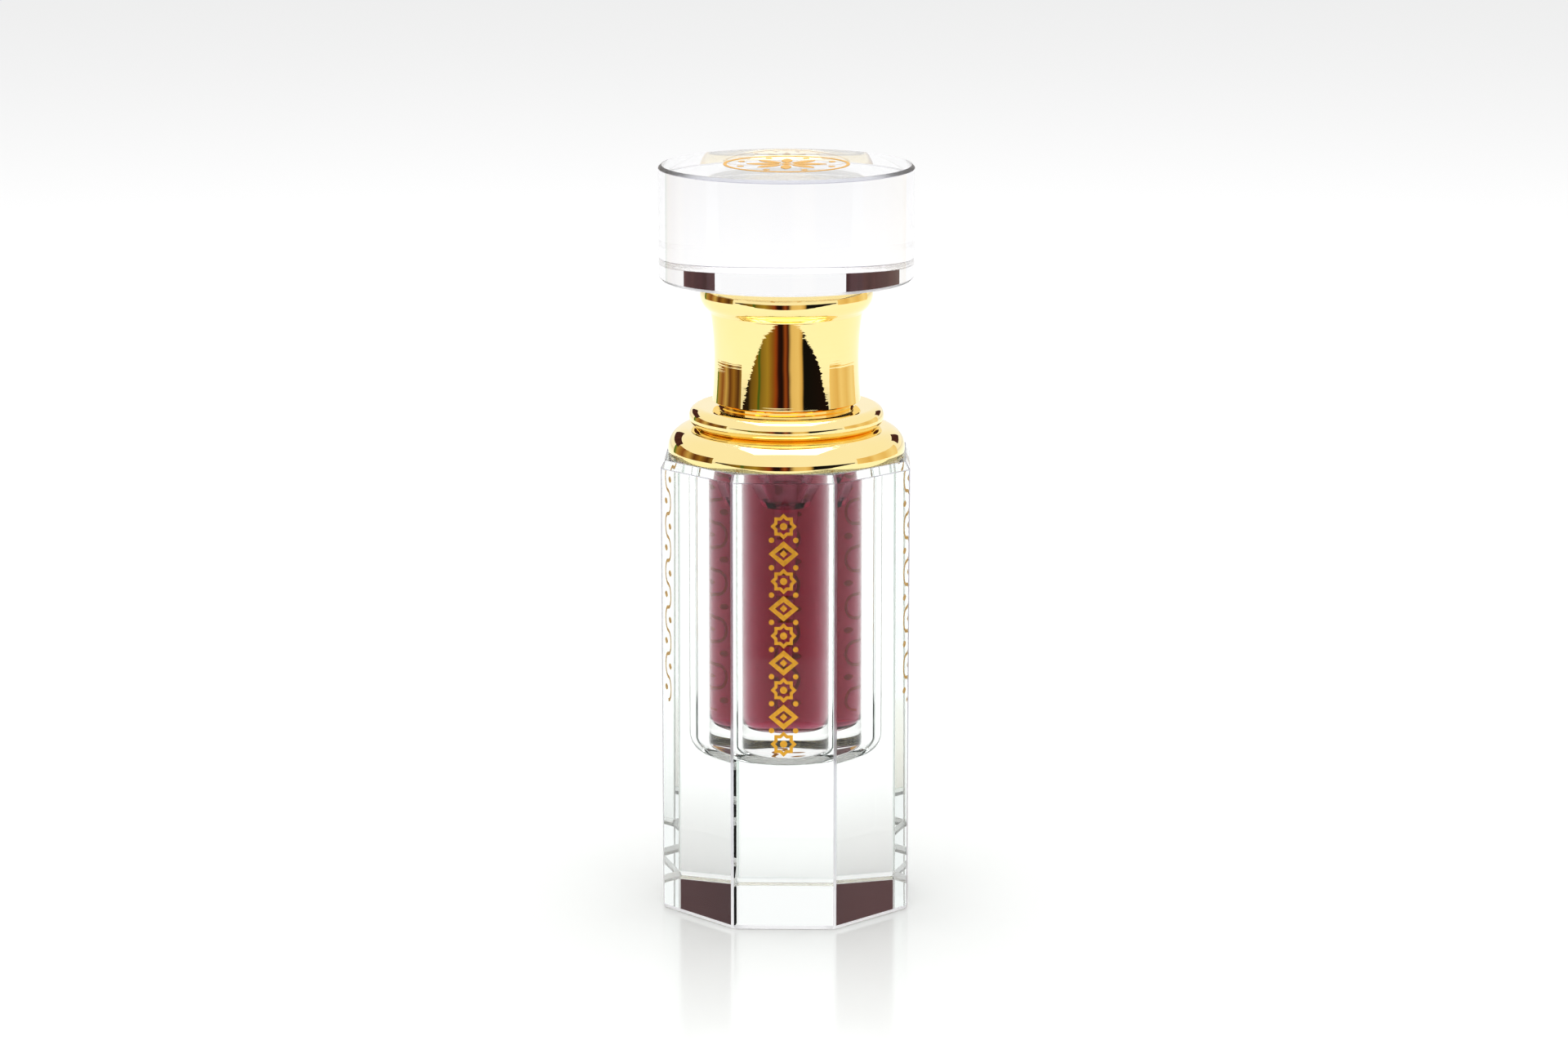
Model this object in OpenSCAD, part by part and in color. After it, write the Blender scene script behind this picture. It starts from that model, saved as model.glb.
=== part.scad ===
// Attar bottle: an octagonal clear block around a glass vial of perfume oil, with a gold
// shoulder collar and a gold screw cap that carries a glass dip rod and a clear round knob.
// Millimetres, +Z up, origin at the centre of the base, front face towards -Y.

/* [Block] */
// Width of the block across its flats
block_w = 30; // [29.6:0.1:33]
// Height of the block
block_h = 56.1; // [55.8:0.1:60]
// Height of the bevel round the base
base_bevel_h = 0.5; // [0.3:0.1:1]
// Inset of the bevel round the base
base_bevel_in = 0.35; // [0.2:0.05:0.6]
// Height of the bevel round the top
top_bevel_h = 1; // [0.5:0.1:1.5]
// Inset of the bevel round the top
top_bevel_in = 0.5; // [0.3:0.1:0.6]
// Width of the fine bevel along each upright edge
edge_bevel = 0.3; // [0.2:0.1:0.6]
// Height of the well's floor above the base
well_floor = 19; // [15:0.5:22]
// Radius of the well
well_r = 8.4; // [8.2:0.1:9]

/* [Vial] */
// Radius of the vial's body
vial_r = 8; // [7.6:0.1:8.1]
// Radius of the bore that holds the oil
bore_r = 5.5; // [5:0.1:6]
// Radius of the bore through the neck
neck_bore_r = 4.3; // [4.2:0.1:4.6]
// Radius of the neck
neck_r = 6.2; // [6:0.1:6.2]
// Depth of the screw thread
thread_depth = 0.5; // [0.3:0.1:0.5]
// Distance from one turn of the thread to the next
thread_pitch = 2.2; // [2:0.1:2.4]
// Height of the mouth above the base
mouth_z = 69; // [68.6:0.1:69]
// Height of the oil's surface above the base
oil_level = 55; // [30:1:55]

/* [Collar] */
// Largest radius of the lower bead
lower_bead_r = 14.4; // [14:0.1:14.4]
// Largest radius of the upper bead
upper_bead_r = 11.85; // [11.5:0.05:12]

/* [Cap] */
// Radius of the cap at its skirt
skirt_r = 9; // [8.9:0.1:9.1]
// Radius of the cap at its waist
waist_r = 8.75; // [8.55:0.05:8.8]
// Radius of the cap's neck where it meets the flange
neck_top_r = 9.2; // [9:0.05:9.4]
// Radius of the flange under the knob
flange_r = 10.45; // [10.2:0.05:11]
// Radius of the knob
knob_r = 15.4; // [13:0.1:17]
// Height of the knob
knob_h = 13.75; // [8:0.25:18]
// Width of the fine bevels on the knob's rims
knob_bevel = 0.35; // [0.2:0.05:0.8]

/* [Dip rod] */
// Radius of the rod's stem in its holder
rod_r = 1.5; // [1.2:0.1:1.5]
// Radius of the rod's rounded tip
rod_tip_r = 0.65; // [0.5:0.05:0.9]
// Height of the rod's tip above the base
rod_tip_z = 23.9; // [23.6:0.1:30]

/* [Gilding] */
// Number of stars and lozenges in the front panel
motifs = 9; // [7:2:11]
// Width of the front panel
panel_w = 3.6; // [3:0.1:5]
// Number of half waves in the vine on the rear face
half_waves = 10; // [8:2:14]
// Number of petals in the knob's rosette
petals = 8; // [6:1:12]

/* [Hidden] */
$fn = 96;

// Colours
clear_tint = [0.93, 0.96, 0.96, 0.3];
glass_tint = [0.9, 0.95, 0.93, 0.35];
oil_tint = [0.5, 0.03, 0.1, 0.85];
gold_tint = [0.88, 0.66, 0.22];
foil_tint = [0.9, 0.62, 0.15];
white_tint = [0.93, 0.93, 0.92];
milky_tint = [0.9, 0.9, 0.9, 0.6];

// Block and vial
block_r = block_w / 2;
octagon_corner = block_r / cos(22.5);
edge_cut = edge_bevel / 2 / tan(67.5);
well_corner = 2.3;
vial_floor = well_floor + 0.4;
bore_floor = well_floor + 3.7;
vial_corner = 1.3;
bore_corner = 1.3;
bond_h = 0.1;
lip_z = block_h + bond_h;
lip_h = 1.2;
lip_r = 10;
lip_top = lip_z + lip_h;
bore_top = block_h - 0.9;
bore_neck_z = block_h + 0.4;
thread_start = block_h + 7.6;
thread_turns = 2;

// Wiper plug in the mouth
plug_nose_z = 50.2;
plug_nose_r = 2.9;
plug_cone_h = 2.7;
plug_bore_r = 3.2;
plug_hole_r = 2;
plug_lip_h = 1;
plug_flange_h = 0.5;
plug_flange_r = 5.9;

// Collar: two half-round beads over a bore that clears the vial's lip
lower_arc_r = 2.6;
lower_arc_z = block_h + 0.6;
upper_arc_r = 1.25;
upper_arc_z = block_h + 4.5;
groove_z = block_h + 3.2;
collar_top = upper_arc_z + upper_arc_r;
rim_r = 8.2;
rim_h = 0.5;
collar_bore_r = 7.6;
lip_gap = 0.1;

// Cap
skirt_z = block_h + 6.4;
seat_z = mouth_z + plug_flange_h;
cap_bore_r = 8;
inner_cap_bore_r = neck_r + thread_depth + 0.08;
inner_cap_z = skirt_z + 0.4;
liner_h = 0.78;
liner_gap = 0.02;
holder_flange_h = 0.76;
plate_z = seat_z + liner_gap + liner_h + holder_flange_h + 2 * liner_gap;
plate_h = 1.2;
shell_top = mouth_z + 8.32;
shell_roof = 1;
roof_z = shell_top - shell_roof;
waist_z = skirt_z + 5.3;
neck_top_z = skirt_z + 11;
flange_arc_r = 2.2;
flange_arc_z = skirt_z + 13;
film_h = 0.08;
knob_z = shell_top + film_h;

// Dip rod and its holder
rod_taper_z = 49;
rod_end_z = mouth_z - 0.5;
rod_gap = 0.05;
holder_r = plug_bore_r - 0.07;
holder_nose_z = mouth_z - 12.5;
holder_flange_r = 5.5;

// Gilding
foil = 0.05;
panel_low = 21.6;
panel_high = 51.6;
line = 0.55;
thin_line = 0.42;

// Radius of the arc that rises by s over the distance h from where it is upright
function flare_radius(h, s) = (h * h + s * s) / (2 * s);

// Half section of a round bar with a rounded lower edge, from z up to top
module round_foot(r, z, top, corner) {
    translate([0, z + corner]) square([r, top - z - corner]);
    translate([0, z]) square([r - corner, top - z]);
    translate([r - corner, z + corner]) circle(corner);
}

module band(r, z, h) {
    translate([0, z]) square([r, h]);
}

module right_half() {
    intersection() {
        children();
        translate([0, -10]) square([60, 200]);
    }
}

// --- Bottle ---

module bevelled_slab() {
    half = block_r;
    rotate([90, 0, 0])
        linear_extrude(2 * block_w, center = true)
            polygon([
                [-half + base_bevel_in, 0], [half - base_bevel_in, 0], [half, base_bevel_h],
                [half, block_h - top_bevel_h], [half - top_bevel_in, block_h],
                [-half + top_bevel_in, block_h], [-half, block_h - top_bevel_h],
                [-half, base_bevel_h]
            ]);
}

module outer_block() {
    color(clear_tint)
        difference() {
            intersection() {
                linear_extrude(block_h)
                    circle(r = (octagon_corner - edge_cut) / cos(22.5), $fn = 8);
                intersection_for(i = [0:3]) rotate([0, 0, 45 * i]) bevelled_slab();
            }
            rotate_extrude() round_foot(well_r, well_floor, block_h + 1, well_corner);
        }
}

module bore_section() {
    shoulder_z = bore_top - 5;
    round_foot(bore_r, bore_floor, bore_top - 1, bore_corner);
    polygon([
        [0, shoulder_z], [bore_r, shoulder_z], [bore_r, bore_top],
        [neck_bore_r, bore_neck_z], [neck_bore_r, mouth_z + 1], [0, mouth_z + 1]
    ]);
}

module inner_vial() {
    color(glass_tint)
        rotate_extrude()
            difference() {
                union() {
                    round_foot(vial_r, vial_floor, lip_top, vial_corner);
                    band(lip_r, lip_z, lip_h);
                    band(neck_r, lip_z, mouth_z - lip_z);
                    for (i = [0:thread_turns])
                        right_half()
                            translate([neck_r, thread_start + i * thread_pitch])
                                circle(thread_depth);
                }
                bore_section();
            }
}

module vial_bond() {
    color(milky_tint)
        rotate_extrude()
            difference() {
                band(lip_r - 0.2, block_h, bond_h);
                band(well_r, block_h - 1, bond_h + 2);
            }
}

module plug_section() {
    difference() {
        union() {
            polygon([
                [0, plug_nose_z], [plug_nose_r, plug_nose_z],
                [neck_bore_r, plug_nose_z + plug_cone_h], [neck_bore_r, mouth_z], [0, mouth_z]
            ]);
            band(plug_flange_r, mouth_z, plug_flange_h);
        }
        polygon([
            [0, plug_nose_z - 1], [plug_hole_r, plug_nose_z - 1],
            [plug_hole_r, plug_nose_z + plug_lip_h],
            [plug_bore_r, plug_nose_z + plug_lip_h + 2.2],
            [plug_bore_r, mouth_z + 1], [0, mouth_z + 1]
        ]);
    }
}

module rod_section(gap) {
    tip = rod_tip_r + gap;
    stem = rod_r + gap;
    polygon([
        [0, rod_tip_z + rod_tip_r], [tip, rod_tip_z + rod_tip_r],
        [stem, rod_taper_z], [stem, rod_end_z], [0, rod_end_z]
    ]);
    right_half() translate([0, rod_tip_z + rod_tip_r]) circle(tip);
}

module perfume_oil() {
    color(oil_tint)
        rotate_extrude()
            difference() {
                intersection() {
                    bore_section();
                    band(bore_r + 1, 0, oil_level);
                }
                plug_section();
                rod_section(rod_gap);
            }
}

module wiper_plug() {
    color(milky_tint)
        rotate_extrude() plug_section();
}

module bead(arc_r, z, outer_r) {
    translate([outer_r - arc_r, z]) circle(arc_r);
}

module shoulder_collar() {
    color(gold_tint)
        rotate_extrude()
            difference() {
                union() {
                    intersection() {
                        union() {
                            bead(lower_arc_r, lower_arc_z, lower_bead_r);
                            band(lower_bead_r - lower_arc_r, block_h, groove_z - block_h);
                        }
                        band(lower_bead_r + 1, block_h, block_h);
                    }
                    bead(upper_arc_r, upper_arc_z, upper_bead_r);
                    band(upper_bead_r - upper_arc_r, block_h, collar_top - block_h);
                    band(rim_r, block_h, collar_top + rim_h - block_h);
                }
                band(lip_r + lip_gap, block_h - 1, lip_z + lip_h + lip_gap - block_h + 1);
                band(collar_bore_r, block_h, block_h);
            }
}

module collar_insert() {
    color(white_tint)
        rotate_extrude()
            difference() {
                band(collar_bore_r, lip_top, collar_top - 0.4 - lip_top);
                band(neck_r, block_h, block_h);
            }
}

// --- Gilding: thin foil, a chain of motifs, a vine and a rosette ---

module lozenge(w, h) {
    polygon([[0, -h / 2], [w / 2, 0], [0, h / 2], [-w / 2, 0]]);
}

// A lens with its points at the origin and at [length, 0]
module leaf(length, width) {
    arc_r = (length * length / 4 + width * width / 4) / width;
    intersection() {
        translate([length / 2, arc_r - width / 2]) circle(arc_r);
        translate([length / 2, width / 2 - arc_r]) circle(arc_r);
    }
}

// Two squares over each other, with eight points at radius r
module star(r) {
    for (turn = [0, 45])
        rotate(turn) square(r * sqrt(2), center = true);
}

// Stars and lozenges by turns, with pairs of dots between them
module motif_chain() {
    step = (panel_high - panel_low) / motifs;
    tall = step * 0.94;
    for (i = [0:motifs - 1])
        translate([0, panel_low + step * (i + 0.5)])
            if (i % 2 == 0) {
                difference() {
                    star(tall / 2);
                    star(tall / 2 - line);
                }
                circle(line * 0.8);
            } else {
                difference() {
                    lozenge(panel_w, tall);
                    lozenge(panel_w - 2.8 * line, tall - 2.8 * line);
                }
                lozenge(line * 1.7, line * 1.7);
            }
    for (i = [1:motifs - 1])
        for (side = [-1, 1])
            translate([side * panel_w * 0.4, panel_low + step * i]) circle(line * 0.6);
}

// A wavy stem with a leaf in each hollow
module vine() {
    wave = (panel_high - panel_low) / half_waves;
    arc_r = wave / 2;
    for (i = [0:half_waves - 1])
        translate([0, panel_low + wave * (i + 0.5)]) {
            side = i % 2 == 0 ? 1 : -1;
            intersection() {
                difference() {
                    circle(arc_r + thin_line / 2);
                    circle(arc_r - thin_line / 2);
                }
                translate([side > 0 ? 0 : -wave, -wave]) square([wave, 2 * wave]);
            }
            translate([-side * 0.3, 0]) rotate(side > 0 ? 180 : 0) leaf(1.6, 0.8);
        }
}

module rosette() {
    for (i = [0:petals - 1])
        rotate(360 / petals * i) {
            translate([0.9, 0]) leaf(3.9, 1.3);
            rotate(180 / petals) translate([5.9, 0]) circle(0.4);
        }
    difference() {
        circle(7.6);
        circle(7.2);
    }
    circle(0.6);
}

// A print on the face that looks along the heading: 0 is the front
module face_print(heading) {
    color(foil_tint)
        rotate([0, 0, heading])
            translate([0, -block_r, 0]) rotate([90, 0, 0]) linear_extrude(foil) children();
}

module front_gilding() {
    face_print(0) motif_chain();
}

module rear_gilding() {
    face_print(180) vine();
}

module knob_gilding() {
    color(foil_tint)
        translate([0, 0, knob_z + knob_h]) linear_extrude(foil) rosette();
}

// --- Dip rod ---

module dip_rod() {
    color(glass_tint)
        rotate_extrude() rod_section(0);
}

module rod_holder() {
    flange_z = seat_z + 2 * liner_gap + liner_h;
    color(milky_tint)
        rotate_extrude()
            difference() {
                union() {
                    polygon([
                        [0, holder_nose_z], [rod_r + 0.4, holder_nose_z],
                        [holder_r, holder_nose_z + 2], [holder_r, flange_z], [0, flange_z]
                    ]);
                    band(holder_flange_r, flange_z, holder_flange_h);
                }
                band(rod_r, 0, rod_end_z);
            }
}

// --- Cap ---

// What is cut from the neck's side between its waist and the height z, where its radius is r
module flare_cut(z, r) {
    arc_r = flare_radius(abs(z - waist_z), r - waist_r);
    intersection() {
        translate([waist_r + arc_r, waist_z]) circle(arc_r, $fn = 720);
        translate([0, min(z, waist_z)]) square([2 * flange_r, abs(z - waist_z)]);
    }
}

module cap_outline() {
    difference() {
        band(neck_top_r, skirt_z, neck_top_z - skirt_z);
        flare_cut(skirt_z, skirt_r);
        flare_cut(neck_top_z, neck_top_r);
    }
    band(flange_r - flange_arc_r, neck_top_z - 0.5, shell_top - neck_top_z + 0.5);
    intersection() {
        translate([flange_r - flange_arc_r, flange_arc_z]) circle(flange_arc_r);
        band(flange_r + 1, skirt_z, shell_top - skirt_z);
    }
}

module cap_shell() {
    color(gold_tint)
        rotate_extrude()
            difference() {
                cap_outline();
                band(cap_bore_r, skirt_z - 1, roof_z - skirt_z + 1);
            }
}

module inner_cap() {
    color(white_tint)
        rotate_extrude()
            difference() {
                band(cap_bore_r, inner_cap_z, roof_z - inner_cap_z);
                band(inner_cap_bore_r, inner_cap_z - 1, plate_z - inner_cap_z + 1);
                translate([3, plate_z + plate_h])
                    square([inner_cap_bore_r - 3, roof_z - plate_z - plate_h + 1]);
            }
}

module cap_liner() {
    color(milky_tint)
        rotate_extrude()
            difference() {
                band(inner_cap_bore_r - 0.1, seat_z + liner_gap, liner_h);
                band(plug_bore_r + 0.1, seat_z, liner_h + 1);
            }
}

module knob_bond() {
    color(milky_tint)
        translate([0, 0, shell_top]) cylinder(r = flange_r - 1.2, h = film_h);
}

module clear_knob() {
    color(clear_tint)
        translate([0, 0, knob_z])
            rotate_extrude()
                polygon([
                    [0, 0], [knob_r - knob_bevel, 0], [knob_r, knob_bevel],
                    [knob_r, knob_h - knob_bevel], [knob_r - knob_bevel, knob_h], [0, knob_h]
                ]);
}

outer_block();
inner_vial();
vial_bond();
perfume_oil();
wiper_plug();
shoulder_collar();
collar_insert();
front_gilding();
rear_gilding();
dip_rod();
rod_holder();
cap_shell();
inner_cap();
cap_liner();
knob_bond();
clear_knob();
knob_gilding();
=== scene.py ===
"""Attar bottle: clear octagonal block, glass vial of perfume oil, gold collar and cap, clear knob."""
import math

import bmesh
import bpy
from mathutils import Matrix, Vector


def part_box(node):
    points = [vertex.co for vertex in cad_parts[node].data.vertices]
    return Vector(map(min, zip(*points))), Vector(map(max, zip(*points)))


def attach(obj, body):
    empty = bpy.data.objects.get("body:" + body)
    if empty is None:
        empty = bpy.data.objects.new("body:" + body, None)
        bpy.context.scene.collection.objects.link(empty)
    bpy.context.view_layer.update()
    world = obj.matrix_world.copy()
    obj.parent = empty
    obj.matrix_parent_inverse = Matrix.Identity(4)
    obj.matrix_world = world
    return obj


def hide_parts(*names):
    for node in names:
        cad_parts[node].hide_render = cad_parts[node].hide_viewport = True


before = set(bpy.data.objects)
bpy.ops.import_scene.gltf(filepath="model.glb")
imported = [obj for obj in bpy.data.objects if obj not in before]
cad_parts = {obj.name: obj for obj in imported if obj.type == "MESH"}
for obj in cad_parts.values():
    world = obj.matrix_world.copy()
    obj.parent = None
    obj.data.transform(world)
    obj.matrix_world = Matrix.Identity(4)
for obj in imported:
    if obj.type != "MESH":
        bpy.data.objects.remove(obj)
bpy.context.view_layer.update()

MM = 0.001


# ---------------------------------------------------------------- sizes, in millimetres
def span(node):
    """Largest radius, lowest z and highest z of a CAD node."""
    low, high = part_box(node)
    return high[0] / MM, low[2] / MM, high[2] / MM


BLOCK_R, _, BLOCK_H = span("outer_block")
LIP_R, VIAL_FLOOR, MOUTH_Z = span("inner_vial")
BORE_R, BORE_FLOOR, OIL_LEVEL = span("perfume_oil")
PLUG_FLANGE_R, PLUG_NOSE_Z, PLUG_TOP = span("wiper_plug")
LOWER_BEAD_R, _, RIM_TOP = span("shoulder_collar")
ROD_R, ROD_TIP_Z, ROD_END_Z = span("dip_rod")
FLANGE_R, SKIRT_Z, SHELL_TOP = span("cap_shell")
BOND_R, _, BOND_TOP = span("knob_bond")
KNOB_R, KNOB_Z, KNOB_TOP = span("clear_knob")

BASE_BEVEL_H = 0.5
BASE_BEVEL_IN = 0.35
TOP_BEVEL_H = 1.0
TOP_BEVEL_IN = 0.5
EDGE_BEVEL = 0.3
CORNER_REACH = 0.5      # the block's upright bevels are the only faces this far past its flats
POLISH = 0.06           # width of the rounding that polish leaves on the clear plastic's crisp edges
WELL_R = 8.4
WELL_FLOOR = 19.0
WELL_CORNER = 2.3
VIAL_R = 8.0
VIAL_CORNER = 1.3
BORE_CORNER = 1.3
NECK_BORE_R = 4.3
NECK_R = 6.2
THREAD_DEPTH = 0.5
THREAD_PITCH = 2.2
THREAD_TURNS = 2.4
SKIRT_R = 9.0
WAIST_R = 8.75
NECK_TOP_R = 9.2
CAP_BORE_R = 8.0
COVE = 0.35
KNOB_BEVEL = 0.35
ROD_TIP_R = 0.65
ROD_TAPER_Z = 49.0

SKIN = 0.01     # foil sinks this far into the clear block, so that it shows from inside too
WET = 0.02      # a liquid overlaps the glass that it wets by this much
SEGMENTS = 192
LONG = 1.0      # a straight longer than this gets a holding point near each of its ends
HOLD = 0.2      # distance of a holding point from the end


# ---------------------------------------------------------------- mesh helpers
def arc(cx, cz, radius, start, end, steps=12):
    """Points of an arc in the (r, z) plane; angles in degrees from +r towards +z."""
    points = []
    for i in range(steps + 1):
        a = math.radians(start + (end - start) * i / steps)
        points.append((cx + radius * math.cos(a), cz + radius * math.sin(a)))
    return points


def straight(p, q, steps):
    """Evenly spaced points from p up to, but not including, q."""
    return [(p[0] + (q[0] - p[0]) * i / steps, p[1] + (q[1] - p[1]) * i / steps) for i in range(steps)]


def to_object(name, bm, sharp=28):
    """A named object from a bmesh in millimetres, shaded smooth but for edges sharper than sharp degrees."""
    bmesh.ops.remove_doubles(bm, verts=bm.verts, dist=1e-5)
    bmesh.ops.recalc_face_normals(bm, faces=bm.faces)
    bmesh.ops.scale(bm, vec=(MM, MM, MM), verts=bm.verts)
    mesh = bpy.data.meshes.new(name)
    bm.to_mesh(mesh)
    bm.free()
    mesh.polygons.foreach_set("use_smooth", [True] * len(mesh.polygons))
    mesh.set_sharp_from_angle(angle=math.radians(sharp))
    obj = bpy.data.objects.new(name, mesh)
    bpy.context.collection.objects.link(obj)
    return obj


def held(profile, closed):
    """The profile with holding points, so that the shading of a rounded corner stays in the corner."""
    points = []
    for i, p in enumerate(profile):
        points.append(p)
        if i == len(profile) - 1 and not closed:
            break
        q = profile[(i + 1) % len(profile)]
        length = math.dist(p, q)
        if length > LONG:
            for share in (HOLD / length, 1 - HOLD / length):
                points.append((p[0] + (q[0] - p[0]) * share, p[1] + (q[1] - p[1]) * share))
    return points


def lathe_into(bm, profile, segments=SEGMENTS, closed=False, swell=None):
    """Turns an (r, z) profile about the Z axis. swell(angle, r, z) gives extra radius."""
    rings = []
    for r, z in held(profile, closed):
        if r < 1e-6:
            rings.append([bm.verts.new((0, 0, z))])
            continue
        ring = []
        for k in range(segments):
            a = 2 * math.pi * k / segments
            rr = r + (swell(a, r, z) if swell else 0)
            ring.append(bm.verts.new((rr * math.cos(a), rr * math.sin(a), z)))
        rings.append(ring)
    pairs = list(zip(rings, rings[1:]))
    if closed:
        pairs.append((rings[-1], rings[0]))
    for low, high in pairs:
        for k in range(segments):
            n = (k + 1) % segments
            corners = [low[k % len(low)], low[n % len(low)], high[n % len(high)], high[k % len(high)]]
            corners = list(dict.fromkeys(corners))
            if len(corners) > 2:
                bm.faces.new(corners)
    return rings


def lathe(name, profile, segments=SEGMENTS, closed=False, swell=None, sharp=28):
    bm = bmesh.new()
    lathe_into(bm, profile, segments, closed, swell)
    return to_object(name, bm, sharp)


# ---------------------------------------------------------------- materials
def new_material(name):
    mat = bpy.data.materials.new(name)
    mat.use_nodes = True
    nodes = mat.node_tree.nodes
    return mat, nodes, mat.node_tree.links, nodes["Principled BSDF"]


def noise(nodes, links, scale, detail=3.0, stretch=(1, 1, 1)):
    """Noise over object coordinates, scale in cycles per metre."""
    coord = nodes.new("ShaderNodeTexCoord")
    mapping = nodes.new("ShaderNodeMapping")
    mapping.inputs["Scale"].default_value = stretch
    tex = nodes.new("ShaderNodeTexNoise")
    tex.inputs["Scale"].default_value = scale
    tex.inputs["Detail"].default_value = detail
    links.new(coord.outputs["Object"], mapping.inputs["Vector"])
    links.new(mapping.outputs["Vector"], tex.inputs["Vector"])
    return tex.outputs["Fac"]


def vary(nodes, links, value, target, low, high):
    """Maps a 0..1 value onto a socket between low and high."""
    ramp = nodes.new("ShaderNodeMapRange")
    ramp.inputs["To Min"].default_value = low
    ramp.inputs["To Max"].default_value = high
    links.new(value, ramp.inputs["Value"])
    links.new(ramp.outputs["Result"], target)


def tint(nodes, links, value, target, dark, light):
    """Mixes two colours by a 0..1 value."""
    mix = nodes.new("ShaderNodeMix")
    mix.data_type = "RGBA"
    mix.inputs["A"].default_value = (*dark, 1)
    mix.inputs["B"].default_value = (*light, 1)
    links.new(value, mix.inputs["Factor"])
    links.new(mix.outputs["Result"], target)


def bump(nodes, links, value, bsdf, strength, distance):
    """Adds a bump in front of any that the shader has already."""
    node = nodes.new("ShaderNodeBump")
    node.inputs["Strength"].default_value = strength
    node.inputs["Distance"].default_value = distance
    links.new(value, node.inputs["Height"])
    for link in bsdf.inputs["Normal"].links:
        links.new(link.from_socket, node.inputs["Normal"])
    links.new(node.outputs["Normal"], bsdf.inputs["Normal"])


def clear_material(name, ior, rough, absorb, density, ripple=0.0, wet=False):
    """Clear glass or acrylic: faint polish haze, and a body tint that deepens with thickness.

    A wet surface, between glass and oil, mirrors next to nothing; a dry one has a soft glint.
    """
    mat, nodes, links, bsdf = new_material(name)
    bsdf.inputs["Base Color"].default_value = (1, 1, 1, 1)
    bsdf.inputs["Transmission Weight"].default_value = 1.0
    bsdf.inputs["IOR"].default_value = ior
    glint = 0.0 if wet else 0.5
    bsdf.inputs["Specular Tint"].default_value = (glint, glint, glint, 1)
    haze = noise(nodes, links, 900, 4)
    vary(nodes, links, haze, bsdf.inputs["Roughness"], rough[0], rough[1])
    if ripple:
        bump(nodes, links, noise(nodes, links, 60, 2), bsdf, ripple, 0.0002)
    volume = nodes.new("ShaderNodeVolumeAbsorption")
    volume.inputs["Color"].default_value = (*absorb, 1)
    volume.inputs["Density"].default_value = density
    links.new(volume.outputs["Volume"], nodes["Material Output"].inputs["Volume"])
    return mat


def gold_material():
    """Bright plated gold: slow waves in the polish, and fine rings left by turning."""
    mat, nodes, links, bsdf = new_material("polished_gold")
    bsdf.inputs["Metallic"].default_value = 1.0
    cloud = noise(nodes, links, 120, 3)
    tint(nodes, links, cloud, bsdf.inputs["Base Color"], (0.97, 0.8, 0.38), (1.0, 0.85, 0.46))
    vary(nodes, links, noise(nodes, links, 1500, 4), bsdf.inputs["Roughness"], 0.01, 0.035)
    bump(nodes, links, noise(nodes, links, 110, 2), bsdf, 0.5, 0.0002)
    bump(nodes, links, noise(nodes, links, 2600, 2, (0.02, 0.02, 1)), bsdf, 1.0, 0.000006)
    return mat


def foil_material():
    """Hot stamped foil: metal flake with small worn specks."""
    mat, nodes, links, bsdf = new_material("gold_foil")
    bsdf.inputs["Metallic"].default_value = 0.75
    grain = noise(nodes, links, 2600, 5)
    tint(nodes, links, grain, bsdf.inputs["Base Color"], (0.6, 0.3, 0.02), (1.0, 0.6, 0.1))
    vary(nodes, links, grain, bsdf.inputs["Roughness"], 0.25, 0.5)
    bump(nodes, links, noise(nodes, links, 3500, 4), bsdf, 0.4, 0.00003)
    return mat


def plastic_material(name, dark, light, rough=(0.3, 0.45), transmission=0.0, ior=1.5):
    """Moulded plastic with faint flow marks."""
    mat, nodes, links, bsdf = new_material(name)
    bsdf.inputs["Transmission Weight"].default_value = transmission
    bsdf.inputs["IOR"].default_value = ior
    flow = noise(nodes, links, 300, 3, (1, 1, 0.3))
    tint(nodes, links, flow, bsdf.inputs["Base Color"], dark, light)
    vary(nodes, links, flow, bsdf.inputs["Roughness"], rough[0], rough[1])
    bump(nodes, links, noise(nodes, links, 1800, 3), bsdf, 0.15, 0.00003)
    return mat


KNOB_TINT = (0.6, 0.6, 0.75)
ACRYLIC = clear_material("clear_block", 1.49, (0.0, 0.012), absorb=(0.55, 0.8, 0.72), density=2.0)
KNOB_ACRYLIC = clear_material("clear_knob", 1.49, (0.0, 0.012), absorb=KNOB_TINT, density=2.0)
GLASS_TINT = (0.6, 0.85, 0.7)
VIAL_GLASS = clear_material("vial_glass", 1.51, (0.0, 0.01), absorb=GLASS_TINT, density=3.0, ripple=0.05)
WET_GLASS = clear_material("wet_glass", 1.51, (0.0, 0.01), absorb=GLASS_TINT, density=3.0, wet=True)
OIL = clear_material("perfume_oil", 1.46, (0.0, 0.01), absorb=(0.78, 0.1, 0.36), density=500.0, wet=True)
SATIN_EDGE = clear_material("satin_edge", 1.49, (0.35, 0.5), absorb=KNOB_TINT, density=2.0)
BOND = clear_material("adhesive", 1.49, (0.02, 0.08), absorb=(0.9, 0.88, 0.7), density=5.0, ripple=0.3)
GOLD = gold_material()
FOIL = foil_material()
WHITE_PLASTIC = plastic_material("white_plastic", (0.82, 0.82, 0.8), (0.9, 0.9, 0.88))
MILKY_PLASTIC = plastic_material(
    "milky_plastic", (0.9, 0.88, 0.87), (0.97, 0.96, 0.95), rough=(0.05, 0.15), transmission=0.97)


def finish_piece(obj, node, body, material):
    """Gives a piece its material, puts it on its body and hides the CAD node that it stands for."""
    obj.data.materials.clear()
    obj.data.materials.append(material)
    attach(obj, body)
    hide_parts(node)
    return obj


def carry_over(node, material):
    """Keeps a CAD node as it is, with a better material."""
    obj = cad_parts[node]
    obj.data.materials.clear()
    obj.data.materials.append(material)


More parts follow.
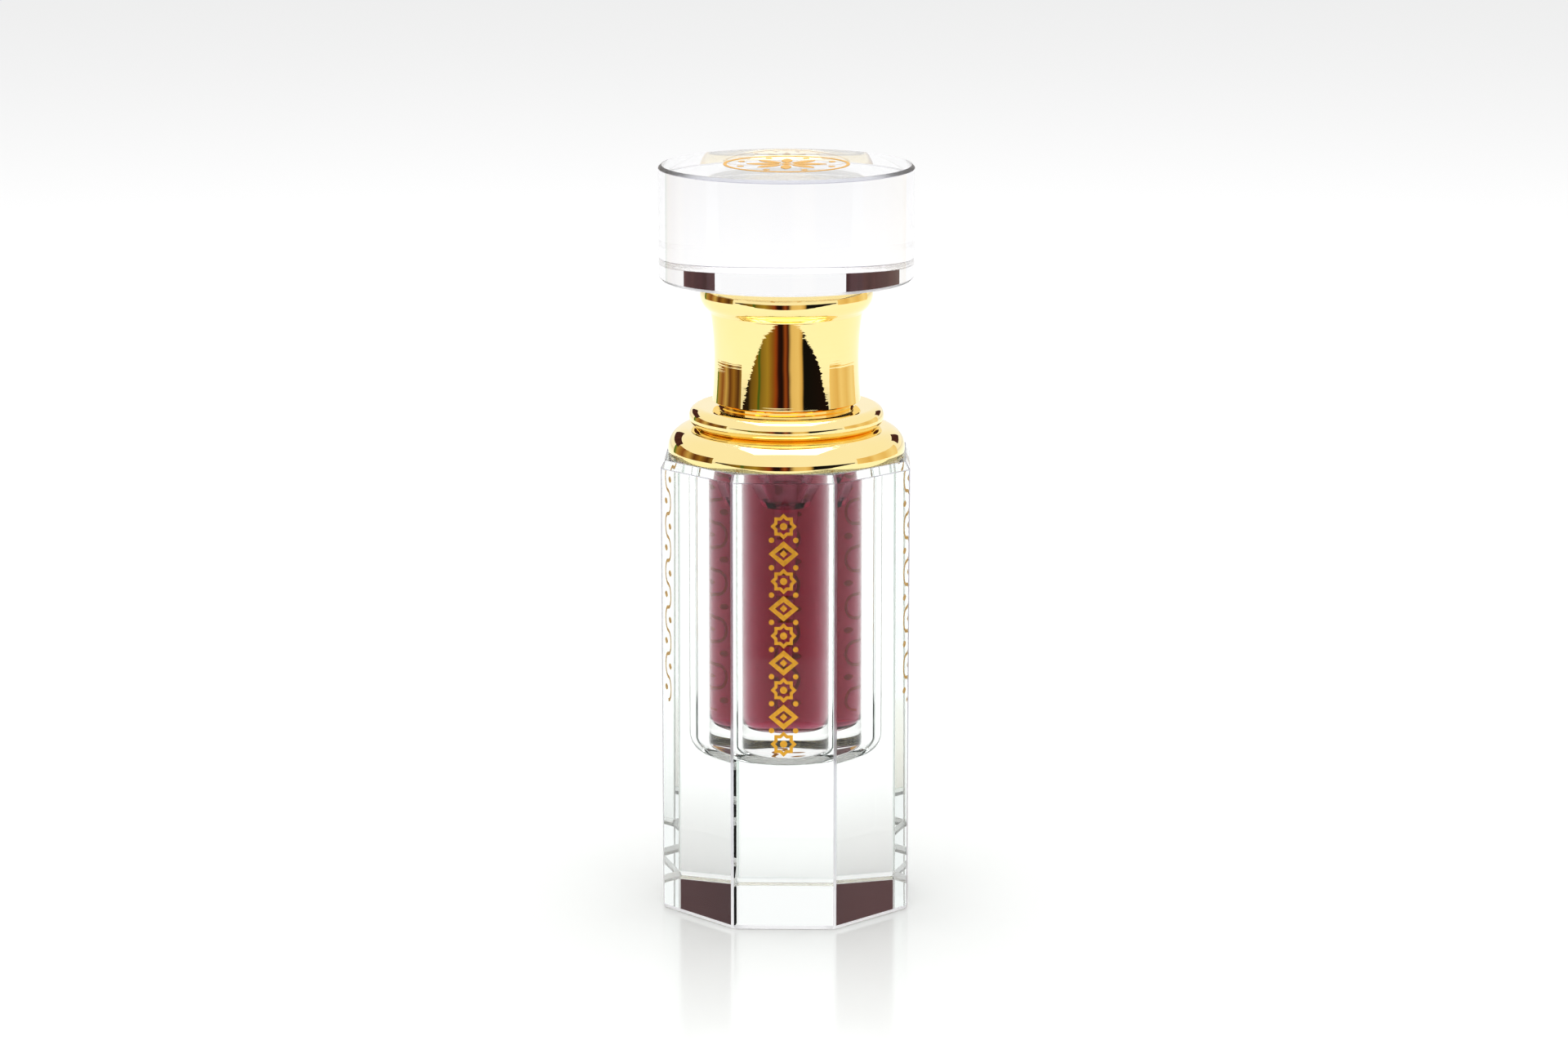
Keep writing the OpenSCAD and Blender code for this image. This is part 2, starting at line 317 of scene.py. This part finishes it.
def casts_no_shadow(*objs):
    """Clear pieces let the studio light through to what stands behind them."""
    for obj in objs:
        obj.visible_shadow = False


# ---------------------------------------------------------------- the block
def octagon_ring(bm, apothem, z):
    """Sixteen points: an octagon with flats on the axes and its corners cut by the edge bevel."""
    cut = EDGE_BEVEL / (2 * math.sin(math.radians(67.5)))
    half = apothem * math.tan(math.radians(22.5)) - cut
    ring = []
    for k in range(8):
        a = math.radians(45 * k)
        for t in (-half, half):
            x = apothem * math.cos(a) - t * math.sin(a)
            y = apothem * math.sin(a) + t * math.cos(a)
            ring.append(bm.verts.new((x, y, z)))
    return ring


def make_block():
    bm = bmesh.new()
    outer = BLOCK_R + SKIN
    rings = [
        octagon_ring(bm, outer - BASE_BEVEL_IN, 0),
        octagon_ring(bm, outer, BASE_BEVEL_H),
        octagon_ring(bm, outer, BLOCK_H - TOP_BEVEL_H),
        octagon_ring(bm, outer - TOP_BEVEL_IN, BLOCK_H),
    ]
    bm.faces.new(rings[0])
    for low, high in zip(rings, rings[1:]):
        for k in range(16):
            n = (k + 1) % 16
            bm.faces.new((low[k], low[n], high[n], high[k]))
    rim = 0.25
    well = [(WELL_R + rim, BLOCK_H), (WELL_R, BLOCK_H - rim)]
    well += arc(WELL_R - WELL_CORNER, WELL_FLOOR + WELL_CORNER, WELL_CORNER, 0, -90, 24)
    well += [(3.0, WELL_FLOOR), (0, WELL_FLOOR)]
    mouth = lathe_into(bm, well)[0]
    edges = []
    for ring in (rings[-1], mouth):
        for k in range(len(ring)):
            edges.append(bm.edges.get((ring[k], ring[(k + 1) % len(ring)])))
    bmesh.ops.triangle_fill(bm, use_beauty=True, edges=edges)
    block = to_object("octagonal_block", bm, 12)
    soften(block, 12)
    return block


def soften(obj, angle):
    """Rounds the crisp edges slightly, as polishing does, and gives them the piece's second finish."""
    mod = obj.modifiers.new("polish", "BEVEL")
    mod.width = POLISH * MM
    mod.segments = 2
    mod.limit_method = "ANGLE"
    mod.angle_limit = math.radians(angle)
    mod.harden_normals = True
    mod.material = 1


# ---------------------------------------------------------------- vial, oil and rod
def thread_swell(angle, r, z):
    """Extra radius of the helical thread on the vial's neck."""
    start = BLOCK_H + 7.0
    turns = (z - start) / THREAD_PITCH - angle / (2 * math.pi)
    nearest = round(turns)
    along = nearest + angle / (2 * math.pi)
    if r < NECK_R - 0.01 or along < 0 or along > THREAD_TURNS:
        return 0.0
    fade = min(1.0, along * 4, (THREAD_TURNS - along) * 4)
    off = abs(turns - nearest) * THREAD_PITCH
    return THREAD_DEPTH * fade * max(0.0, math.cos(min(off / 0.62, 1.0) * math.pi / 2))


def make_vial():
    lip_z = BLOCK_H + 0.1
    lip_top = lip_z + 1.2
    outside = [(0, VIAL_FLOOR), (VIAL_R - VIAL_CORNER - 1, VIAL_FLOOR)]
    outside += arc(VIAL_R - VIAL_CORNER, VIAL_FLOOR + VIAL_CORNER, VIAL_CORNER, -90, 0, 24)
    outside += [(VIAL_R, lip_z - 0.4)]
    outside += arc(VIAL_R + 0.4, lip_z - 0.4, 0.4, 180, 90, 6)
    outside += arc(LIP_R - 0.2, lip_z + 0.2, 0.2, -90, 0, 4)
    outside += arc(LIP_R - 0.2, lip_top - 0.2, 0.2, 0, 90, 4)
    outside += arc(NECK_R + 0.3, lip_top + 0.3, 0.3, -90, -180, 4)
    outside += straight((NECK_R, lip_top + 1), (NECK_R, MOUTH_Z - 0.5), 90)
    outside += arc(NECK_R - 0.4, MOUTH_Z - 0.4, 0.4, 0, 90, 6)
    inside = arc(NECK_BORE_R + 0.2, MOUTH_Z - 0.2, 0.2, 90, 180, 4)
    inside += [(NECK_BORE_R, BLOCK_H + 0.4), (BORE_R - 0.2, BLOCK_H - 0.8), (BORE_R, BLOCK_H - 1.1)]
    inside += arc(BORE_R - BORE_CORNER, BORE_FLOOR + BORE_CORNER, BORE_CORNER, 0, -90, 16)
    inside += [(1.5, BORE_FLOOR), (0, BORE_FLOOR)]
    return lathe("glass_vial", outside + inside, swell=thread_swell, sharp=35)


def rod_outline(shrink=0.0):
    """The rod's outline from its tip upwards, to where its taper ends."""
    tip = ROD_TIP_R - shrink
    points = arc(0, ROD_TIP_Z + ROD_TIP_R, tip, -90, 0, 12)
    points[0] = (0, ROD_TIP_Z + shrink)
    points += [(ROD_R - shrink, ROD_TAPER_Z)]
    return points


def make_rod():
    profile = rod_outline() + [(ROD_R, ROD_END_Z - 0.2), (ROD_R - 0.2, ROD_END_Z), (0, ROD_END_Z)]
    return lathe("glass_dip_rod", profile, 96, sharp=35)


PLUG_NOSE_R = 2.9
PLUG_CONE_TOP = PLUG_NOSE_Z + 2.7
PLUG_HOLE_R = 2.0
PLUG_LIP_TOP = PLUG_NOSE_Z + 1.0
PLUG_BORE_R = 3.2


def make_plug():
    profile = [(PLUG_HOLE_R, PLUG_NOSE_Z + 0.2)]
    profile += arc(PLUG_HOLE_R + 0.2, PLUG_NOSE_Z + 0.2, 0.2, 180, 270, 4)
    profile += arc(PLUG_NOSE_R - 0.2, PLUG_NOSE_Z + 0.2, 0.2, -90, -30, 4)
    profile += [(NECK_BORE_R - 0.02, PLUG_CONE_TOP), (NECK_BORE_R - 0.02, MOUTH_Z + 0.01)]
    profile += [(PLUG_FLANGE_R - 0.1, MOUTH_Z + 0.01), (PLUG_FLANGE_R, MOUTH_Z + 0.12)]
    profile += [(PLUG_FLANGE_R, PLUG_TOP - 0.1), (PLUG_FLANGE_R - 0.1, PLUG_TOP)]
    profile += [(PLUG_BORE_R + 0.15, PLUG_TOP), (PLUG_BORE_R, PLUG_TOP - 0.15)]
    profile += [(PLUG_BORE_R, PLUG_LIP_TOP + 2.2), (PLUG_HOLE_R, PLUG_LIP_TOP)]
    return lathe("wiper_insert", profile, 128, closed=True, sharp=30)


def make_oil():
    """The oil wets the vial, the plug and the rod, and climbs them a little."""
    wall = BORE_R + WET
    floor = BORE_FLOOR - WET
    level = OIL_LEVEL - 0.3
    profile = [(0, floor), (2.0, floor)]
    profile += arc(wall - BORE_CORNER, floor + BORE_CORNER, BORE_CORNER, -90, 0, 16)
    profile += [(wall, OIL_LEVEL - 0.02)] + arc(wall - 0.3, OIL_LEVEL, 0.28, 0, -90, 5)
    profile += arc(NECK_BORE_R + 0.28, OIL_LEVEL, 0.28, -90, -180, 5)
    profile += [(NECK_BORE_R - 0.02 - WET, OIL_LEVEL), (NECK_BORE_R - 0.02 - WET, PLUG_CONE_TOP)]
    profile += [(PLUG_NOSE_R - WET, PLUG_NOSE_Z + 0.1), (PLUG_NOSE_R - 0.2, PLUG_NOSE_Z + WET)]
    profile += [(PLUG_HOLE_R + 0.2, PLUG_NOSE_Z + WET), (PLUG_HOLE_R + WET, PLUG_NOSE_Z + 0.2)]
    profile += [(PLUG_HOLE_R + WET, PLUG_LIP_TOP), (PLUG_BORE_R + WET, PLUG_LIP_TOP + 2.2)]
    profile += [(PLUG_BORE_R + WET, level), (ROD_R - WET, level)]
    profile += list(reversed(rod_outline(WET)))
    return lathe("perfume_oil_fill", profile, sharp=35)


# ---------------------------------------------------------------- gold collar and cap
def make_collar():
    lower_r, lower_rise = 2.6, 0.6
    lower_z = BLOCK_H + lower_rise
    upper_r, upper_z = 1.25, BLOCK_H + 4.5
    upper_bead_r = 11.85
    rim_r = 8.2
    bore_r = 7.6
    recess_r, recess_top = LIP_R + 0.1, BLOCK_H + 1.4
    base_angle = math.degrees(math.asin(-lower_rise / lower_r))
    profile = [(recess_r, BLOCK_H + 0.01)]
    profile += arc(LOWER_BEAD_R - lower_r, lower_z, lower_r, base_angle, 82, 40)
    profile += arc(upper_bead_r - upper_r, upper_z, upper_r, -80, 90, 32)
    profile += [(rim_r + 0.1, upper_z + upper_r), (rim_r, upper_z + upper_r + 0.1)]
    profile += [(rim_r, RIM_TOP - 0.12), (rim_r - 0.12, RIM_TOP)]
    profile += [(bore_r + 0.1, RIM_TOP), (bore_r, RIM_TOP - 0.1)]
    profile += [(bore_r, recess_top), (recess_r, recess_top)]
    return lathe("beaded_collar", profile, 256, closed=True)


def flare(z0, r0, z1, r1, steps=24):
    """Points of a shallow flare from its upright end (z0, r0) to (z1, r1)."""
    points = []
    for i in range(steps + 1):
        share = i / steps
        points.append((r0 + (r1 - r0) * share ** 2, z0 + (z1 - z0) * share))
    return points


def cap_outline():
    """Outside of the gold cap from its skirt up: waisted neck, cove and rounded flange."""
    waist_z = SKIRT_Z + 5.3
    neck_top_z = SKIRT_Z + 11
    flange_arc, flange_z = 2.2, SKIRT_Z + 13
    lip = 0.1
    points = [(SKIRT_R - lip, SKIRT_Z), (SKIRT_R, SKIRT_Z + lip)]
    points += list(reversed(flare(waist_z, WAIST_R, SKIRT_Z + 2 * lip, SKIRT_R - 0.01)))
    points += flare(waist_z, WAIST_R, neck_top_z - COVE, NECK_TOP_R - 0.04)[1:]
    points += arc(NECK_TOP_R + COVE, neck_top_z - COVE, COVE, 180, 130, 8)
    top = math.degrees(math.asin((SHELL_TOP - flange_z) / flange_arc))
    points += arc(FLANGE_R - flange_arc, flange_z, flange_arc, -55, top, 36)
    return points


def make_cap_shell():
    roof = SHELL_TOP - 1
    inside = [(0, roof), (CAP_BORE_R, roof), (CAP_BORE_R, SKIRT_Z + 0.1), (CAP_BORE_R + 0.1, SKIRT_Z)]
    return lathe("waisted_cap", inside + cap_outline() + [(0, SHELL_TOP)], 256)


def make_bond():
    gap = 0.005
    profile = [(0, SHELL_TOP + gap), (BOND_R, SHELL_TOP + gap), (BOND_R, BOND_TOP - gap), (0, BOND_TOP - gap)]
    return lathe("knob_adhesive_film", profile, 128)


def make_knob():
    low = KNOB_Z + 0.005
    high = KNOB_TOP + SKIN
    profile = [(0, low), (KNOB_R - KNOB_BEVEL, low), (KNOB_R, low + KNOB_BEVEL)]
    profile += [(KNOB_R, high - KNOB_BEVEL), (KNOB_R - KNOB_BEVEL, high), (0, high)]
    knob = lathe("clear_disc_knob", profile, 360, sharp=20)
    soften(knob, 20)
    return knob


def on_wet_bore(centre):
    """Whether a face of the vial is one that the oil touches."""
    return math.hypot(centre.x, centre.y) < BORE_R + WET and BORE_FLOOR - WET < centre.z < OIL_LEVEL


def on_block_edges(centre):
    """Whether a face of the block is its base bevel or one of the fine upright bevels at its corners."""
    on_base_bevel = SKIN <= centre.z < BASE_BEVEL_H
    return on_base_bevel or math.hypot(centre.x, centre.y) > BLOCK_R + CORNER_REACH


def on_knob_rims(centre):
    """Whether a face of the knob is one of its fine bevels."""
    to_end = min(centre.z - KNOB_Z, KNOB_TOP - centre.z)
    return math.hypot(centre.x, centre.y) > KNOB_R - KNOB_BEVEL and to_end < KNOB_BEVEL


def second_finish(obj, material, inside):
    """Gives some faces a finish of their own; inside(centre) says which, in millimetres."""
    obj.data.materials.append(material)
    for face in obj.data.polygons:
        if inside(face.center / MM):
            face.material_index = 1


def make_pieces():
    block = finish_piece(make_block(), "outer_block", "bottle", ACRYLIC)
    vial = finish_piece(make_vial(), "inner_vial", "bottle", VIAL_GLASS)
    oil = finish_piece(make_oil(), "perfume_oil", "bottle", OIL)
    plug = finish_piece(make_plug(), "wiper_plug", "bottle", MILKY_PLASTIC)
    rod = finish_piece(make_rod(), "dip_rod", "applicator", VIAL_GLASS)
    finish_piece(make_collar(), "shoulder_collar", "bottle", GOLD)
    finish_piece(make_cap_shell(), "cap_shell", "cap", GOLD)
    bond = finish_piece(make_bond(), "knob_bond", "cap", BOND)
    knob = finish_piece(make_knob(), "clear_knob", "cap", KNOB_ACRYLIC)
    second_finish(vial, WET_GLASS, on_wet_bore)
    second_finish(rod, WET_GLASS, lambda centre: centre.z < OIL_LEVEL)
    second_finish(block, SATIN_EDGE, on_block_edges)
    second_finish(knob, SATIN_EDGE, on_knob_rims)
    casts_no_shadow(block, vial, oil, plug, rod, bond, knob)
    for node in ("front_gilding", "rear_gilding", "knob_gilding"):
        carry_over(node, FOIL)
    carry_over("vial_bond", BOND)
    for node in ("collar_insert", "inner_cap"):
        carry_over(node, WHITE_PLASTIC)
    for node in ("rod_holder", "cap_liner"):
        carry_over(node, MILKY_PLASTIC)


# ---------------------------------------------------------------- stage
def reflection_card(name, corners, faces):
    """A glowing card in metres, hidden from the camera: it shows in mirrors and through clear pieces."""
    mesh = bpy.data.meshes.new(name)
    mesh.from_pydata(corners, [], faces)
    obj = bpy.data.objects.new(name, mesh)
    bpy.context.collection.objects.link(obj)
    obj.visible_camera = False
    obj.visible_diffuse = False
    obj.visible_shadow = False
    mat = bpy.data.materials.new(name)
    mat.use_nodes = True
    nodes = mat.node_tree.nodes
    nodes.clear()
    glow = nodes.new("ShaderNodeEmission")
    out = nodes.new("ShaderNodeOutputMaterial")
    mat.node_tree.links.new(glow.outputs["Emission"], out.inputs["Surface"])
    mesh.materials.append(mat)
    return obj, nodes, mat.node_tree.links, glow


def heading(nodes, links):
    """Heading seen from the bottle, as 0..1 over a whole turn; 0.5 is straight towards the camera."""
    coord = nodes.new("ShaderNodeTexCoord")
    split = nodes.new("ShaderNodeSeparateXYZ")
    angle = nodes.new("ShaderNodeMath")
    angle.operation = "ARCTAN2"
    flip = nodes.new("ShaderNodeMath")
    flip.operation = "MULTIPLY"
    flip.inputs[1].default_value = -1
    links.new(coord.outputs["Object"], split.inputs["Vector"])
    links.new(split.outputs["Y"], flip.inputs[0])
    links.new(split.outputs["X"], angle.inputs[0])
    links.new(flip.outputs["Value"], angle.inputs[1])
    share = nodes.new("ShaderNodeMapRange")
    share.inputs["From Min"].default_value = -math.pi
    share.inputs["From Max"].default_value = math.pi
    links.new(angle.outputs["Value"], share.inputs["Value"])
    return share.outputs["Result"]


# What stands round the table shows in the gold: colours by heading, in degrees from straight ahead
ROOM_AHEAD = (
    (-70, (0.04, 0.02, 0.01)), (-60, (0.03, 0.02, 0.01)), (-55, (0.20, 0.13, 0.03)),
    (-45, (0.30, 0.20, 0.03)), (-42, (0.05, 0.16, 0.03)), (-39, (0.28, 0.20, 0.04)),
    (-28, (0.42, 0.30, 0.06)), (-20, (0.30, 0.15, 0.03)), (-15, (0.34, 0.08, 0.02)),
    (-11, (0.04, 0.01, 0.01)), (-5, (0.02, 0.01, 0.01)), (0, (0.35, 0.10, 0.03)),
    (4, (0.06, 0.01, 0.01)), (9, (0.80, 0.62, 0.34)), (20, (0.86, 0.68, 0.38)),
    (25, (0.70, 0.48, 0.20)), (28, (0.01, 0.01, 0.01)), (70, (0.02, 0.01, 0.01)),
)
ROOM_LEFT = (
    (-138, (0.04, 0.22, 0.03)), (-130, (0.50, 0.34, 0.12)), (-118, (0.30, 0.12, 0.04)),
    (-108, (0.62, 0.45, 0.20)), (-99, (0.16, 0.06, 0.02)), (-90, (0.36, 0.20, 0.05)),
    (-80, (0.12, 0.05, 0.02)), (-74, (0.40, 0.28, 0.10)),
)
ROOM_RIGHT = (
    (73, (0.90, 0.72, 0.42)), (88, (0.80, 0.58, 0.28)), (96, (0.92, 0.76, 0.48)),
    (110, (0.84, 0.64, 0.34)), (125, (0.95, 0.84, 0.60)), (136, (0.90, 0.74, 0.46)),
)
ROOM_RADIUS = 1.2
TABLE_FRONT = 0.146     # from the bottle's axis to the table's dark front edge
TABLE_SIDE = 0.385      # from the bottle's axis to what stands beside the table
ROOM_TOP_AHEAD = 0.07
ROOM_TOP_SIDES = 0.35


def table_front(degrees):
    """How far the white table reaches towards a heading in front."""
    return min(ROOM_RADIUS, TABLE_FRONT / math.cos(math.radians(1.25 * degrees)))


def table_side(degrees):
    """How far it is to what stands beside the table: the same for every heading."""
    return TABLE_SIDE


def room_sweep(name, bands, near, top):
    """Part of the room past the table: it starts near(heading) away, lies low, and rises to top.

    It shows only in mirrors, and not straight through the clear pieces.
    """
    first, last = bands[0][0], bands[-1][0]
    steps = 32
    low, foot = 0.001, 0.012
    rows = [[], [], []]
    for k in range(steps + 1):
        degrees = first + (last - first) * k / steps
        a = math.radians(degrees)
        for row, radius, z in zip(rows, (near(degrees), ROOM_RADIUS, ROOM_RADIUS), (low, foot, top)):
            row.append((radius * math.sin(a), -radius * math.cos(a), z))
    n = steps + 1
    faces = []
    for row in range(2):
        for k in range(steps):
            faces.append((row * n + k, row * n + k + 1, (row + 1) * n + k + 1, (row + 1) * n + k))
    card, nodes, links, glow = reflection_card(name, rows[0] + rows[1] + rows[2], faces)
    ramp = nodes.new("ShaderNodeValToRGB")
    elements = ramp.color_ramp.elements
    while len(elements) < len(bands):
        elements.new(0.5)
    for element, (degrees, colour) in zip(elements, bands):
        element.position = 0.5 + degrees / 360
        element.color = (*colour, 1)
    links.new(heading(nodes, links), ramp.inputs["Fac"])
    links.new(ramp.outputs["Color"], glow.inputs["Color"])
    card.visible_transmission = False


def make_flags():
    """Two dark flags behind and above, which darken the bands that mirror inside the clear plastic."""
    distance = 0.47
    low, high = 0.118, 0.23
    for name, near, far in (("flag_right", 21, 38), ("flag_left", -19, -50)):
        corners = []
        for z in (low, high):
            for degrees in (near, far):
                a = math.radians(degrees)
                corners.append((distance * math.sin(a), distance * math.cos(a), z))
        _, nodes, links, glow = reflection_card(name, corners, [(0, 1, 3, 2)])
        streaks = noise(nodes, links, 30, 4, (1, 1, 0.25))
        tint(nodes, links, streaks, glow.inputs["Color"], (0.02, 0.008, 0.012), (0.17, 0.07, 0.07))


def by_distance(nodes, links, near, far):
    """0..1 as the distance from the bottle's axis goes from near to far, in metres."""
    coord = nodes.new("ShaderNodeTexCoord")
    length = nodes.new("ShaderNodeVectorMath")
    length.operation = "LENGTH"
    share = nodes.new("ShaderNodeMapRange")
    share.inputs["From Min"].default_value = near
    share.inputs["From Max"].default_value = far
    links.new(coord.outputs["Object"], length.inputs[0])
    links.new(length.outputs["Value"], share.inputs["Value"])
    return share.outputs["Result"]


FLOOR_SIZE = 4.0                # half the floor's width, in metres
FLOOR_GAP = 0.00004             # keeps the floor's surface just clear of the base
# The near colour is painted shade: the floor is darker round the bottle to even out the pool of light that
# the overhead softbox throws there.
FLOOR_NEAR_PAINTED_SHADE = (0.76, 0.77, 0.76)
FLOOR_FAR = (0.85, 0.85, 0.85)
PAINTED_SHADE_FADE = (0.1, 0.4)              # over these distances from the bottle the painted shade fades and the floor grows paler
MATTER = (0.03, 0.06)           # and over these it loses its polish


def make_floor():
    """A pale table, polished round the bottle and matt further out, so that it doesn't mirror the room, and
    darker round the bottle: painted shade that evens out the overhead softbox's pool of light.
    """
    bm = bmesh.new()
    bmesh.ops.create_grid(bm, x_segments=1, y_segments=1, size=FLOOR_SIZE)
    mesh = bpy.data.meshes.new("floor")
    bm.to_mesh(mesh)
    bm.free()
    floor = bpy.data.objects.new("floor", mesh)
    bpy.context.collection.objects.link(floor)
    floor.location = (0, 0, -FLOOR_GAP)
    mat, nodes, links, bsdf = new_material("floor")
    bsdf.inputs["Roughness"].default_value = 0.12
    bsdf.inputs["IOR"].default_value = 1.4
    # Painted shade: the floor is darker round the bottle, against the overhead softbox's pool of light.
    tint(nodes, links, by_distance(nodes, links, *PAINTED_SHADE_FADE), bsdf.inputs["Base Color"], FLOOR_NEAR_PAINTED_SHADE, FLOOR_FAR)
    vary(nodes, links, by_distance(nodes, links, *MATTER), bsdf.inputs["Specular IOR Level"], 0.5, 0.0)
    mesh.materials.append(mat)


OVERHEAD_HEIGHT = 0.75
OVERHEAD_SIZE = 0.6
OVERHEAD_POWER = 3.0


def make_overhead():
    """A square softbox straight above the bottle, facing down."""
    light = bpy.data.lights.new("overhead", "AREA")
    light.shape = "RECTANGLE"
    light.size = OVERHEAD_SIZE
    light.size_y = OVERHEAD_SIZE
    light.energy = OVERHEAD_POWER
    obj = bpy.data.objects.new("overhead", light)
    bpy.context.collection.objects.link(obj)
    obj.location = (0, 0, OVERHEAD_HEIGHT)


def make_stage():
    make_floor()
    world = bpy.data.worlds.new("studio")
    bpy.context.scene.world = world
    world.use_nodes = True
    world.node_tree.nodes["Background"].inputs["Color"].default_value = (1, 1, 1, 1)
    world.node_tree.nodes["Background"].inputs["Strength"].default_value = 1.0
    make_overhead()
    room_sweep("room_ahead", ROOM_AHEAD, table_front, ROOM_TOP_AHEAD)
    room_sweep("room_left", ROOM_LEFT, table_side, ROOM_TOP_SIDES)
    room_sweep("room_right", ROOM_RIGHT, table_side, ROOM_TOP_SIDES)
    make_flags()


# ---------------------------------------------------------------- camera
CAMERA_DISTANCE = 0.4994
CAMERA_HEIGHT = 0.1548
CAMERA_OFFSET = -0.0003
CAMERA_PITCH = 12.16
CAMERA_HEADING = 1.33
CAMERA_LENS = 96.1


def make_camera():
    cam = bpy.data.cameras.new("camera")
    cam.lens = CAMERA_LENS
    cam.sensor_width = 36
    cam.clip_start = 0.01
    cam.clip_end = 20
    obj = bpy.data.objects.new("camera", cam)
    bpy.context.collection.objects.link(obj)
    a = math.radians(CAMERA_HEADING)
    x, y = CAMERA_OFFSET, -CAMERA_DISTANCE
    obj.location = (x * math.cos(a) - y * math.sin(a), x * math.sin(a) + y * math.cos(a), CAMERA_HEIGHT)
    obj.rotation_euler = (math.radians(90 - CAMERA_PITCH), 0, a)
    bpy.context.scene.camera = obj


def set_light_paths():
    scene = bpy.context.scene
    scene.view_settings.view_transform = "Standard"
    scene.view_settings.gamma = 0.85
    scene.cycles.max_bounces = 24
    scene.cycles.transmission_bounces = 24
    scene.cycles.glossy_bounces = 8
    scene.cycles.transparent_max_bounces = 16
    scene.cycles.sample_clamp_indirect = 6


make_pieces()
make_stage()
make_camera()
set_light_paths()
